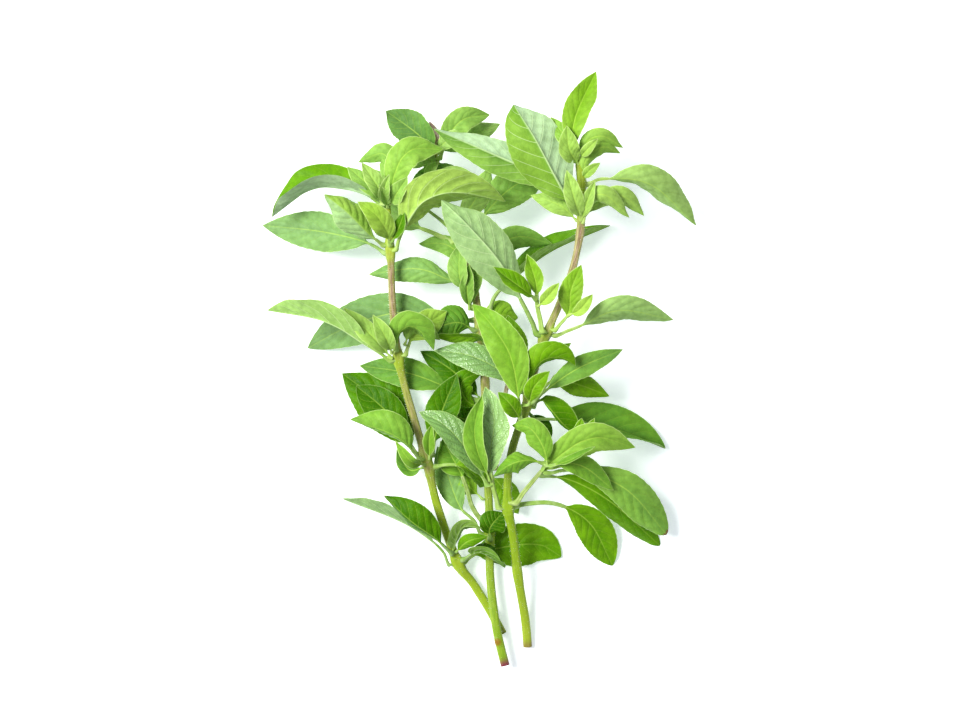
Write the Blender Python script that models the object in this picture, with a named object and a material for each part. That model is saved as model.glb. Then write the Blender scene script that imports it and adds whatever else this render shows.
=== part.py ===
"""A loose bunch of basil: three cut sprigs lying across one another.

Each sprig is a four-sided stem that swells at its joints. Leaves leave the joints on thin
stalks, mostly in pairs, and some joints also carry a side shoot that ends in a leaf. Nothing
ties the sprigs together: they rest on the leaf tips and stem ends that touch z = 0. Every stem,
leaf and shoot is a closed solid of its own, kept GAP apart from the one that it grows on.

Units: the tables below are in millimetres, and the meshes are made in metres. +Z is up, +Y runs
from the cut ends to the tips, and the origin is under the middle of the bunch.
"""

import math

import bmesh
import bpy
import numpy as np
from mathutils import Matrix, Vector

MM = 0.001

# Driving dimensions, in millimetres.
GAP = 0.35
STEM_RADIUS_LOW = 2.0
STEM_RADIUS_HIGH = 1.45
STEM_SWELLING = 0.45
SWELLING_LENGTH = 4.0
STEM_SQUARENESS = 0.08
STEM_RING_STEP = 6.0
CUT_HOLLOW = 0.4
LEAF_STALK_RADIUS = 0.75
SHOOT_STALK_RADIUS = 1.0
SHOOT_STALK_MIN = 14.0
STALK_CHANNEL = 0.6
STALK_RING_STEP = 9.0
BLADE_THICKNESS = 0.45
RIB_DEPTH = 0.3
BLADE_CUP = 0.82

# A leaf blade's outline is u^BLADE_SHOULDER * (1 - u)^BLADE_TAPER, widest at 42% of its length.
BLADE_SHOULDER = 0.72
BLADE_TAPER = 1.0
BLADE_STATIONS = (0.05, 0.14, 0.28, 0.44, 0.60, 0.76, 0.90)
WIDEST = BLADE_SHOULDER / (BLADE_SHOULDER + BLADE_TAPER)

# Base colours: young leaves are yellow-green, old ones darker, undersides pale.
LIGHT = (0.30, 0.42, 0.09)
FRESH = (0.16, 0.34, 0.06)
DARK = (0.07, 0.17, 0.045)
PALE = (0.38, 0.47, 0.25)
STEM_GREEN = (0.30, 0.34, 0.16)
STEM_PURPLE = (0.20, 0.12, 0.10)

lines = {}


def clear_scene():
    for old in list(bpy.data.objects):
        bpy.data.objects.remove(old, do_unlink=True)


def smooth_path(route, count):
    """Points at even distances along a Catmull-Rom curve through the route's points."""
    knots = np.array(route, dtype=float)
    first = 2 * knots[0] - knots[1]
    last = 2 * knots[-1] - knots[-2]
    knots = np.vstack([first, knots, last])
    t = np.linspace(0, 1, 24, endpoint=False)[:, None]
    runs = []
    for a, b, c, d in zip(knots, knots[1:], knots[2:], knots[3:]):
        runs.append(
            b + t * (c - a) / 2 + t**2 * (a - 2.5 * b + 2 * c - d / 2) + t**3 * (1.5 * (b - c) + (d - a) / 2)
        )
    dense = np.vstack(runs + [knots[-2:-1]])
    travelled = np.concatenate([[0], np.cumsum(np.linalg.norm(np.diff(dense, axis=0), axis=1))])
    wanted = np.linspace(0, travelled[-1], count)
    return np.column_stack([np.interp(wanted, travelled, dense[:, axis]) for axis in range(3)])


def frames_along(points, roll):
    """Tangent, side and face vectors at each point; roll tips the side up, in degrees, base to tip."""
    tangent = np.gradient(points, axis=0)
    tangent /= np.linalg.norm(tangent, axis=1)[:, None]
    level = np.cross(tangent, (0, 0, 1))
    level /= np.linalg.norm(level, axis=1)[:, None]
    upright = np.cross(level, tangent)
    angle = np.radians(np.linspace(roll[0], roll[1], len(points)))[:, None]
    side = level * np.cos(angle) + upright * np.sin(angle)
    face = upright * np.cos(angle) - level * np.sin(angle)
    return tangent, side, face


def closed_mesh(name, rings, start, end):
    """A closed skin over rings of points, with a fan to a single point at each end."""
    bm = bmesh.new()
    loops = [[bm.verts.new(point * MM) for point in ring] for ring in rings]
    sides = len(loops[0])
    for near, far in zip(loops, loops[1:]):
        for i in range(sides):
            j = (i + 1) % sides
            bm.faces.new((near[i], near[j], far[j], far[i]))
    for loop, pole in ((loops[0], start), (loops[-1], end)):
        middle = bm.verts.new(pole * MM)
        for i in range(sides):
            bm.faces.new((loop[i], loop[(i + 1) % sides], middle))
    bmesh.ops.triangulate(bm, faces=bm.faces)
    bmesh.ops.recalc_face_normals(bm, faces=bm.faces)
    mesh = bpy.data.meshes.new(name)
    bm.to_mesh(mesh)
    bm.free()
    mesh.shade_smooth()
    mesh.set_sharp_from_angle(angle=math.radians(60))
    return mesh


def place(name, mesh, colour, roughness):
    material = bpy.data.materials.new(name)
    material.use_nodes = True
    shader = material.node_tree.nodes["Principled BSDF"]
    shader.inputs["Base Color"].default_value = (*colour, 1)
    shader.inputs["Roughness"].default_value = roughness
    shader.inputs["Metallic"].default_value = 0
    mesh.materials.append(material)
    piece = bpy.data.objects.new(name, mesh)
    bpy.context.collection.objects.link(piece)


def stem(name, route, joints, colour):
    """A tapering four-sided stem: swollen at its joints, hollowed at the cut, pointed at the tip."""
    knots = np.array(route, dtype=float)
    length = np.linalg.norm(np.diff(knots, axis=0), axis=1).sum()
    points = smooth_path(route, int(length / STEM_RING_STEP))
    tangent, side, face = frames_along(points, (45, 45))
    share = np.linspace(0, 1, len(points))
    radius = STEM_RADIUS_LOW + (STEM_RADIUS_HIGH - STEM_RADIUS_LOW) * share
    for joint in joints:
        distance = np.linalg.norm(points - knots[joint], axis=1)
        radius = radius + STEM_SWELLING * np.exp(-((distance / SWELLING_LENGTH) ** 2))
    radius[-1] *= 0.6
    lines[name] = (points, radius)
    rings = []
    for centre, across, up, r in zip(points, side, face, radius):
        turn = np.arange(8) * math.pi / 4
        reach = r * (1 - STEM_SQUARENESS * (np.arange(8) % 2))
        rings.append(
            centre
            + np.outer(reach * np.cos(turn), across)
            + np.outer(reach * np.sin(turn), up)
        )
    start = points[0] + tangent[0] * CUT_HOLLOW
    end = points[-1] + tangent[-1] * radius[-1]
    place(name, closed_mesh(name, rings, start, end), colour, 0.6)


def seated(route, parent, radius):
    """The route with its first point moved to stand GAP clear of the parent's skin."""
    points, skin = lines[parent]
    first = np.array(route[0], dtype=float)
    fine = np.linspace(0, len(points) - 1, 12 * len(points))
    axis = np.column_stack([np.interp(fine, np.arange(len(points)), points[:, i]) for i in range(3)])
    reach = np.interp(fine, np.arange(len(points)), skin)
    nearest = np.argmin(np.linalg.norm(axis - first, axis=1))
    away = first - axis[nearest]
    away /= np.linalg.norm(away)
    base = axis[nearest] + away * (reach[nearest] + GAP + 0.8 * radius)
    return [tuple(base)] + list(route[1:])


def leaf(name, parent, route, petiole, width, roll=(0, 0), fold=10, colour=DARK):
    """A leaf with its stalk, as one thin closed solid along a midrib.

    The midrib runs from the parent through the route's points to the tip. The stalk is a round rod
    with a channel along its upper side. The blade's two halves are lifted by the fold angle, and the
    rib stands out below. Side to side, a ring has an edge, a quarter point, the midrib, a quarter
    point and an edge, then the same three inner points again underneath.
    """
    stalk_radius = SHOOT_STALK_RADIUS if petiole >= SHOOT_STALK_MIN else LEAF_STALK_RADIUS
    path = smooth_path(seated(route, parent, stalk_radius), 121)
    length = np.linalg.norm(np.diff(path, axis=0), axis=1).sum()
    tangent, side, face = frames_along(path, roll)
    lines[name] = (path[:: 4], np.full(len(path[::4]), stalk_radius))

    stalk_rings = 1 + max(1, round(petiole / STALK_RING_STEP))
    distances = [petiole * i / stalk_rings for i in range(stalk_rings)]
    blade_length = length - petiole
    distances += [petiole + u * blade_length for u in BLADE_STATIONS]
    across_stalk = np.cos(np.radians([180, 135, 90, 45, 0, -45, -90, -135]))
    up_stalk = np.sin(np.radians([180, 135, 90, 45, 0, -45, -90, -135]))
    up_stalk[2] *= STALK_CHANNEL
    across_blade = np.array([-1, -0.5, 0, 0.5, 1, 0.5, 0, -0.5])
    skin = np.array([0, 0.5, 0.5, 0.5, 0, -0.5, -0.5, -0.5]) * BLADE_THICKNESS
    skin[6] -= RIB_DEPTH
    lift = np.abs(across_blade) * math.sin(math.radians(fold))
    lift[[1, 3, 5, 7]] *= BLADE_CUP
    widest = WIDEST**BLADE_SHOULDER * (1 - WIDEST) ** BLADE_TAPER

    rings = []
    for distance in distances:
        at = int(round(distance / length * (len(path) - 1)))
        u = (distance - petiole) / blade_length
        if u < 0:
            taper = 1 - 0.2 * distance / petiole
            x = across_stalk * stalk_radius * taper
            y = up_stalk * stalk_radius * taper
        else:
            half = 0.5 * width * u**BLADE_SHOULDER * (1 - u) ** BLADE_TAPER / widest
            x = across_blade * half * math.cos(math.radians(fold))
            y = lift * half + skin * (1 - 0.5 * u)
        rings.append(path[at] + np.outer(x, side[at]) + np.outer(y, face[at]))
    start = path[0] - tangent[0] * 0.3 * stalk_radius
    place(name, closed_mesh(name, rings, start, path[-1]), colour, 0.45)


def left_sprig():
    stem(
        "left_stem",
        [(9, -106, 1.9), (3, -95, 2.2), (-4, -84, 4), (-9, -77, 6.5), (-17, -54, 11), (-21, -37, 14),
         (-29, -9, 18), (-32, 4, 20), (-34, 22, 22.5), (-35, 47, 25), (-36, 64, 27)],
        joints=(3, 5, 7, 9),
        colour=STEM_GREEN,
    )
    on = "left_stem"
    leaf("left_1_pale", on, [(-11, -78, 7), (-17, -70, 9), (-31, -60.5, 9.5), (-55, -52, 2)],
         12, 15, (-100, -100), 40, PALE)
    leaf("left_1_dark", on, [(-11, -73.5, 10), (-17, -67.5, 16), (-27, -60, 20), (-38, -50, 16)],
         8, 16, (40, 40), -37)
    leaf("left_1_right", on, [(-7, -76, 8), (0, -72, 15), (10, -79, 9)], 6, 14, (95, 80), 35)
    leaf("left_1_under", on, [(-6, -77, 4), (-1, -74, 2.6), (12, -71, 2.3), (24, -70.5, 2.5),
         (32.5, -75.5, 1.2)], 5, 17, (0, 0), 5)
    leaf("left_2_light", on, [(-23, -36, 16.5), (-33, -26.5, 24.5), (-51, -20, 21)],
         7, 17, (42, 42), -37, LIGHT)
    leaf("left_2_back", on, [(-24, -36, 12), (-37, -16, 9), (-55, -2, 4.5)], 7, 20, (-10, -5), 10)
    leaf("left_2_front", on, [(-23, -34, 14.3), (-36, -18, 14.3), (-49, -7, 11)], 8, 14, (-15, -10), 12)
    leaf("left_2_upright", on, [(-20, -35, 15), (-16, -20, 17), (-9, -2, 17)], 6, 13, (10, 0), 15, FRESH)
    leaf("left_2_thin", on, [(-19, -39, 14), (-13, -38, 17.4), (-6, -39, 17.4), (3, -47, 11.4)],
         9, 12, (50, 50), 30)
    leaf("left_3_pale", on, [(-34, 3, 21), (-43, 8.5, 25), (-60, 18.5, 27), (-84, 23, 13)],
         12, 19, (-115, -110), 30, PALE)
    leaf("left_3_arch", on, [(-33, 7, 24), (-31, 14, 31), (-25, 16, 33), (-18, 7, 27)],
         4, 13, (-50, -50), -30, LIGHT)
    leaf("left_3_right", on, [(-30, 5, 21), (-25, 14, 23), (-13, 22.5, 21)],
         6, 11, (-20, -10), 15, FRESH)
    leaf("left_4_flat", on, [(-37, 45, 23), (-45, 49.5, 21), (-63, 54, 14), (-87, 57, 2)],
         8, 15, (5, 0), 10, LIGHT)
    leaf("left_4_big", on, [(-38, 63, 28), (-46, 68.5, 30), (-57, 70.5, 29), (-67, 69.5, 26),
         (-82, 59.5, 17)], 6, 21, (-70, -65), 50, FRESH)
    leaf("left_4_light", on, [(-37, 48, 26), (-43, 52, 33), (-51, 60, 38), (-60, 67, 38.5)],
         6, 16, (-5, -5), -32, LIGHT)
    leaf("left_4_front", on, [(-35, 48, 28.5), (-36, 53, 36), (-40, 59, 41), (-47, 64, 42)],
         4, 9, (-5, -5), 12, LIGHT)
    leaf("left_4_arch", on, [(-33, 46, 27), (-29, 55, 34), (-21, 65, 39), (-8, 68, 37), (10, 65, 26)],
         10, 20, (165, 105), 28, PALE)
    leaf("left_5_arch", on, [(-34, 65, 29), (-33, 75, 34), (-27, 84, 36), (-14, 85, 31)],
         5, 12, (15, 20), 12, LIGHT)


def middle_sprig():
    stem(
        "middle_stem",
        [(10, -118, 6.2), (8, -110, 6.8), (6, -100, 7), (4, -82, 6), (4, -64, 6), (3, -44, 7), (2, -25, 8),
         (2, -5, 10), (0, 15, 12.5), (-2, 31, 14.5), (-6, 46, 17), (-12, 60, 18.5), (-16, 74, 20),
         (-18, 85, 21)],
        joints=(4, 7, 8, 10),
        colour=STEM_GREEN,
    )
    on = "middle_stem"
    leaf("middle_1_left", on, [(1, -66, 6), (-2, -61, 7.5), (-8, -55, 8), (-13, -42, 7), (-17, -31, 4)],
         13, 11, (5, 5), 8)
    leaf("middle_1_front", on, [(4, -68, 9), (4, -63, 11.5), (9, -57, 10)], 3, 11, (-5, 0), 10)
    leaf("middle_low_shoot", on, [(1, -60, 8), (-3, -55, 9.5), (-6, -45, 12), (-10, -37, 13.5),
         (-15, -28, 12)], 20, 12, (0, 0), 10)
    leaf("middle_2_left", on, [(0, -13, 9), (-12, -8, 13), (-28, -2, 14), (-48, 1, 7)],
         14, 12, (-15, -10), 12)
    leaf("middle_brown_shoot", on, [(6, -40, 9), (7, -26, 13), (10, -10, 15), (13, 5, 16), (11, 21, 15)],
         40, 12, (0, 0), 10)
    leaf("middle_3_big", on, [(-3, 19, 12), (-12, 19, 16), (-31, 22, 17), (-51, 17, 10), (-69, 8, 0.3)],
         12, 18, (0, 0), 5)
    leaf("middle_3_dark", on, [(-2, 15, 14), (-9, 18, 20), (-20, 15, 20)], 3, 15, (-5, 0), -10)
    leaf("middle_3_thin", on, [(2, 10, 14), (-2, 12, 22), (-18, 13, 22)], 3, 9, (60, 60), 20, PALE)
    leaf("middle_left_shoot", on, [(-3, 24, 15), (-5, 28, 18), (-8, 36, 23), (-8, 49, 24)],
         10, 9, (25, 20), 30, FRESH)
    leaf("middle_4_left", on, [(-5, 31, 16), (-13, 35, 22), (-25, 39, 22), (-44, 37, 14)],
         8, 11, (-10, -10), -15)
    leaf("middle_right_shoot", on, [(2, 15, 13.5), (4, 23, 16), (8, 31, 18), (27, 46, 15), (52, 57, 3)],
         20, 17, (75, 75), 40, PALE)
    leaf("middle_5_right", on, [(-5, 50, 18), (0, 58, 20), (9, 68, 22), (18, 74, 22), (30, 79, 17)],
         12, 16, (0, 0), -12)
    leaf("middle_5_dark", on, [(-11, 55, 20), (-19, 61, 22), (-24, 67, 23), (-16, 74, 24), (-1, 73, 22)],
         13, 14, (0, 0), -15)
    leaf("middle_5_far", on, [(-10, 50, 17), (-20, 54, 16), (-28, 58, 15), (-36, 69, 10), (-44, 80, 2)],
         14, 13, (0, 0), 5)
    leaf("middle_6_tip", on, [(-20, 82, 22.5), (-23, 90, 26), (-37, 101, 20)], 3, 14, (0, 0), 25)
    leaf("middle_6_right", on, [(-15, 82, 23), (-11, 92, 28), (-6, 97, 29), (4, 99, 24)],
         4, 10, (-10, 0), 12, LIGHT)


def right_sprig():
    stem(
        "right_stem",
        [(19, -111, 1.9), (18, -100, 4), (15, -82, 10), (13, -66, 14), (11, -55, 17), (11, -42, 20),
         (13, -30, 22), (17, -18, 25), (20, -5, 27), (23, 5, 28), (25, 12, 29), (30, 23, 31), (36, 39, 33),
         (39, 55, 34), (39, 65, 35), (39, 73, 36), (37, 84, 37)],
        joints=(2, 4, 7, 10, 13, 15),
        colour=STEM_PURPLE,
    )
    on = "right_stem"
    leaf("right_1_long_stalk", on, [(14, -54, 16), (22, -53, 16), (32, -54, 14), (44, -62, 9),
         (53, -79, 0.3)], 20, 14, (0, 0), 8, FRESH)
    leaf("right_low_left_shoot", on, [(8, -55, 18), (5, -46, 22), (4, -34, 27), (5.5, -20, 29),
         (2, -7, 26)], 16, 14, (30, 20), 30)
    leaf("right_1_pale", "right_low_left_shoot", [(3, -46, 22), (-5, -32, 25), (-14, -22, 25),
         (-24, -17, 20)], 4, 12, (-25, -20), 22, PALE)
    leaf("right_low_right_shoot", on, [(13, -53, 19), (20, -45, 22), (26, -38, 27), (43, -27, 31),
         (61, -31, 22)], 18, 12, (-5, -10), 12, LIGHT)
    shoot = "right_low_right_shoot"
    leaf("right_1_arch", shoot, [(25, -37, 29), (19, -35.5, 33), (12, -37, 34), (5, -42, 29.5)],
         4, 12, (0, -10), -45, LIGHT)
    leaf("right_1_dark", shoot, [(25, -42, 23), (36, -44, 20), (52, -53, 15), (72, -71, 0.3)],
         6, 13, (-10, -5), -15)
    leaf("right_1_big", shoot, [(27.5, -42, 25), (40, -40, 22.4), (58, -48, 20), (74, -66, 9)],
         13, 15.5, (0, 0), -12, LIGHT)
    leaf("right_2_front", on, [(16, -20, 27), (15, -12, 32), (12, 4, 37), (5, 16, 37), (-3, 25, 31)],
         10, 14, (5, 10), 8, LIGHT)
    leaf("right_2_shiny", on, [(16, -9, 27), (8, -1, 29), (-4, 5, 29), (-18, 7, 23)],
         5, 11.5, (-25, -20), 15, PALE)
    leaf("right_2_arch", on, [(20, -10, 29), (20.5, -2, 33.5), (25, 3.5, 37), (32, 4, 36.5),
         (37, 1, 33.5)], 6, 14, (-40, -50), -30, LIGHT)
    leaf("right_2_pale", on, [(20, -14, 27), (25, -9, 29), (38, 0, 30), (56, 7.5, 23)],
         9, 9, (20, 15), 8, PALE)
    leaf("right_2_dark", on, [(21, -12, 25), (29, -4.5, 25), (39, -6.5, 23), (51, -11, 17)],
         9, 10, (-5, 0), -12)
    leaf("right_2_veined", on, [(19, -15, 25.5), (24, -11.5, 26.4), (31, -15.5, 27.4), (39, -27, 24)],
         5, 15, (12, 12), 18)
    leaf("right_2_big", on, [(18, -20, 23), (29, -20, 17), (44, -21.5, 14), (59, -26, 10), (74, -32, 4)],
         12, 19, (50, 50), 45)
    leaf("right_3_big", on, [(23, 13, 30), (17, 24, 36), (7, 41, 41), (-6, 56, 42), (-15, 65, 36)],
         17, 20, (150, 160), 12, PALE)
    leaf("right_high_left_shoot", on, [(25, 14, 31), (22, 25, 35), (21.5, 33, 39), (18, 44, 40)],
         16, 7, (0, 0), 30, LIGHT)
    leaf("right_3_curved", "right_high_left_shoot", [(21.5, 26, 39), (17, 30, 43), (10, 35, 44),
         (5, 39, 43)], 3, 9, (-40, -40), 25)
    leaf("right_high_right_shoot", on, [(28, 15, 31), (34, 21, 35), (35, 30, 39), (39, 40, 38)],
         8, 9, (5, 0), 15, FRESH)
    leaf("right_3_right", on, [(28, 13, 29), (38, 16, 31), (54, 22.5, 30), (76, 19, 19)],
         12, 12, (-25, -25), -18, FRESH)
    leaf("right_4_wide", on, [(37, 60, 36), (30, 71, 42.5), (21.5, 87, 43.5), (15, 98, 39.5),
         (13, 102, 34.5)], 6, 22, (172, 165), 24, PALE)
    leaf("right_4_long", on, [(37, 62, 34.5), (23, 74, 36), (4, 83, 36), (-18, 93, 30)],
         10, 14, (175, 170), 28, PALE)
    leaf("right_4_right", on, [(41, 71, 35), (48, 73, 37), (66, 71, 34), (85, 56, 18)],
         9, 16, (-32, -28), -42, FRESH)
    leaf("right_5_top", on, [(36.5, 84, 40), (35.5, 90, 41.5), (37.5, 99, 41), (45, 115, 33)],
         2, 11, (12, 8), 25, FRESH)


def stand_on_origin():
    """Move every piece so that the bunch's box stands centred on the origin, its bottom at z = 0."""
    pieces = list(bpy.data.objects)
    corners = np.array([vertex.co for piece in pieces for vertex in piece.data.vertices])
    low, high = corners.min(axis=0), corners.max(axis=0)
    middle = Vector(((low[0] + high[0]) / 2, (low[1] + high[1]) / 2, low[2]))
    for piece in pieces:
        piece.data.transform(Matrix.Translation(-middle))


clear_scene()
left_sprig()
middle_sprig()
right_sprig()
stand_on_origin()
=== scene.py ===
# %% [markdown]
# # A loose bunch of basil
#
# Three cut sprigs lie across one another on a white table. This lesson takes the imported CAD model,
# in which every stem and leaf is a coarse closed solid, reads the line and the width of each solid
# back from its points, and carries a much finer living surface along the same line. The CAD solid
# stays as the thing that physics feels, and the fine surface is the one that is seen.

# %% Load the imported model
import math

import bpy
import numpy as np
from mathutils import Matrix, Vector


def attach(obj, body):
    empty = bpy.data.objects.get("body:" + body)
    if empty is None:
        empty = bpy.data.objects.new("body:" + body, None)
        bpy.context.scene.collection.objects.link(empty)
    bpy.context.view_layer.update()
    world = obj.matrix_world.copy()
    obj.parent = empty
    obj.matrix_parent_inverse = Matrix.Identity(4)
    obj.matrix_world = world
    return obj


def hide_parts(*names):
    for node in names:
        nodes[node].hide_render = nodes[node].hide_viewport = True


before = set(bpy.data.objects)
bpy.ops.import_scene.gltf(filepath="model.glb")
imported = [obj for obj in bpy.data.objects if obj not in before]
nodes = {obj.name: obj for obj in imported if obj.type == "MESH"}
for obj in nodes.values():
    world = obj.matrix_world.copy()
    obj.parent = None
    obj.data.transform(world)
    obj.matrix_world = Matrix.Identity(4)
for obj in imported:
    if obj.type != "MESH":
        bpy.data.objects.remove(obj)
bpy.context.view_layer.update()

MM = 0.001

# %% [markdown]
# ## Reading a solid's rings
#
# A leaf or stem solid is a stack of rings of eight points with a single point, a pole, at each end.
# The file holds only loose triangles, so the points are first joined. Walking outwards from a pole
# along the edges then meets one ring after another. This could be done by eye in Edit Mode, by
# picking loops, but there are sixty solids, and code reads them all in the same way.

# %% Join the loose triangles
RING = 8


def welded(node):
    """A CAD node's points in millimetres and its triangles, with equal points joined into one."""
    mesh = nodes[node].data
    mesh.calc_loop_triangles()
    loose = np.empty(3 * len(mesh.vertices), dtype=np.float32)
    mesh.vertices.foreach_get("co", loose)
    corners = np.empty(3 * len(mesh.loop_triangles), dtype=np.int32)
    mesh.loop_triangles.foreach_get("vertices", corners)
    rounded = np.round(loose.reshape(-1, 3).astype(float) / MM, 3)
    points, place = np.unique(rounded, axis=0, return_inverse=True)
    return points, place.ravel()[corners].reshape(-1, 3)


# %% Walk from a pole to the other end
def layers(links, start):
    """The points that are 0, 1, 2, ... edges away from the start, as a list of index arrays."""
    seen = np.zeros(len(links), dtype=bool)
    seen[start] = True
    found = [np.array([start])]
    while True:
        near = links[found[-1]].any(axis=0) & ~seen
        if not near.any():
            return found
        seen |= near
        found.append(np.flatnonzero(near))


def in_order(ring, links):
    """A ring's points in the order in which its own edges join them."""
    order = [ring[0]]
    while len(order) < len(ring):
        order.append(next(p for p in ring if links[order[-1], p] and p not in order))
    return np.array(order)


def roundness(points):
    """Second over first singular value of the centred points: 1 for a circle, 0 for a line."""
    spread = np.linalg.svd(points - points.mean(axis=0), compute_uv=False)
    return spread[1] / spread[0]


def rings_of(node):
    """A solid's rings (n, 8, 3) from its base to its tip, and the pole at its tip, in mm.

    The base of a leaf is the end whose ring is round. Both ends of a stem are round, and its base
    is the end with the lower y. Each ring is turned until its points face those of the last ring.
    """
    points, faces = welded(node)
    links = np.zeros((len(points), len(points)), dtype=bool)
    for a, b in ((0, 1), (1, 2), (2, 0)):
        links[faces[:, a], faces[:, b]] = True
        links[faces[:, b], faces[:, a]] = True
    ends = []
    for start in np.flatnonzero(links.sum(axis=1) == RING):
        found = layers(links, start)
        if len(found[-1]) == 1 and all(len(layer) == RING for layer in found[1:-1]):
            ends.append(found)
    first, second = ends
    if "stem" in node:
        swap = points[first[0][0], 1] > points[second[0][0], 1]
    else:
        swap = roundness(points[first[1]]) < roundness(points[second[1]])
    if swap:
        first = second
    rings = [points[in_order(first[1], links)]]
    for layer in first[2:-1]:
        ring = points[in_order(layer, links)]
        turned = [np.roll(r, k, axis=0) for r in (ring, ring[::-1]) for k in range(RING)]
        rings.append(min(turned, key=lambda r: ((r - rings[-1]) ** 2).sum()))
    return np.array(rings), points[first[-1][0]]


# %% [markdown]
# ## The line of a leaf
#
# What matters about a leaf solid is short: the curve of its midrib, which way its right edge and
# its upper face point along that curve, how wide it is, and how far its halves are folded up.
# The stalk's ring has a channel on its upper side, so its flattened point tells which way is up.

# %% Measure a leaf solid
STATIONS = np.array([0.05, 0.14, 0.28, 0.44, 0.60, 0.76, 0.90])
WIDEST = 3
LEFT, TOP, RIGHT, BOTTOM = 0, 2, 4, 6
CAD_THICKNESS = 0.45
CAD_PEAK = 0.3104


def cad_outline(u):
    """The CAD blade's half-width at share u of its length: u^0.72 (1 - u), over its peak."""
    return u**0.72 * (1 - u) / CAD_PEAK


def unit(vectors):
    """Each vector divided by its own length."""
    return vectors / np.linalg.norm(vectors, axis=-1, keepdims=True)


def distances(points):
    """How far along their line each of the points lies, in millimetres."""
    steps = np.linalg.norm(np.diff(points, axis=0), axis=1)
    return np.concatenate([[0], np.cumsum(steps)])


def leaf_line(node):
    """A leaf's midrib, its right and up directions at each ring, and its measures.

    The first ring's point nearest its middle is the stalk's channel, so it is the top. Rings
    that run the wrong way round are mirrored about their top. In the blade the midrib lies half
    the skin's thickness below the top.
    """
    rings, tip = rings_of(node)
    first = rings[0]
    ahead = rings[1].mean(axis=0) - first.mean(axis=0)
    channel = np.argmin(np.linalg.norm(first - first.mean(axis=0), axis=1))
    rings = np.roll(rings, TOP - channel, axis=1)
    up = rings[0, TOP] - rings[0, BOTTOM]
    if np.dot(rings[0, RIGHT] - rings[0, LEFT], np.cross(ahead, up)) < 0:
        rings = rings[:, (2 * TOP - np.arange(RING)) % RING]
    right = unit(rings[:, RIGHT] - rings[:, LEFT])
    up = unit(rings[:, TOP] - rings[:, BOTTOM])
    centre = (rings[:, LEFT] + rings[:, RIGHT]) / 2
    blade = slice(-len(STATIONS), None)
    half_skin = 0.5 * CAD_THICKNESS * (1 - 0.5 * STATIONS)
    centre[blade] = rings[blade, TOP] - half_skin[:, None] * up[blade]
    ring = rings[blade][WIDEST]
    half = np.linalg.norm(ring[RIGHT] - ring[LEFT]) / 2
    lift = np.dot((ring[LEFT] + ring[RIGHT]) / 2 - centre[blade][WIDEST], up[blade][WIDEST])
    centre = np.vstack([centre, tip])
    at = distances(centre)
    blade_length = (at[-1] - at[-1 - len(STATIONS)]) / (1 - STATIONS[0])
    return {
        "at": at,
        "centre": centre,
        "right": np.vstack([right, right[-1:]]),
        "up": np.vstack([up, up[-1:]]),
        "stalk": at[-1] - blade_length,
        "width": 2 * math.hypot(half, lift) / cad_outline(STATIONS[WIDEST]),
        "fold": math.atan2(lift, half),
        "radius": np.linalg.norm(rings[0, RIGHT] - rings[0, LEFT]) / 2,
    }


STEMS = ["left_stem", "middle_stem", "right_stem"]
leaves = {name: leaf_line(name) for name in sorted(set(nodes) - set(STEMS))}
widths = [leaf["width"] for leaf in leaves.values()]
print(f"{len(leaves)} leaves measured, {min(widths):.1f} to {max(widths):.1f} mm wide")

# %% [markdown]
# ## The small leaves
#
# Every joint of a basil sprig also carries a tuft of young leaves, too small and too many to be
# solids of their own. Each is written as a few steps in millimetres from the foot of a measured
# leaf, so a tuft stays on its joint wherever the model is packed.

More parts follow.
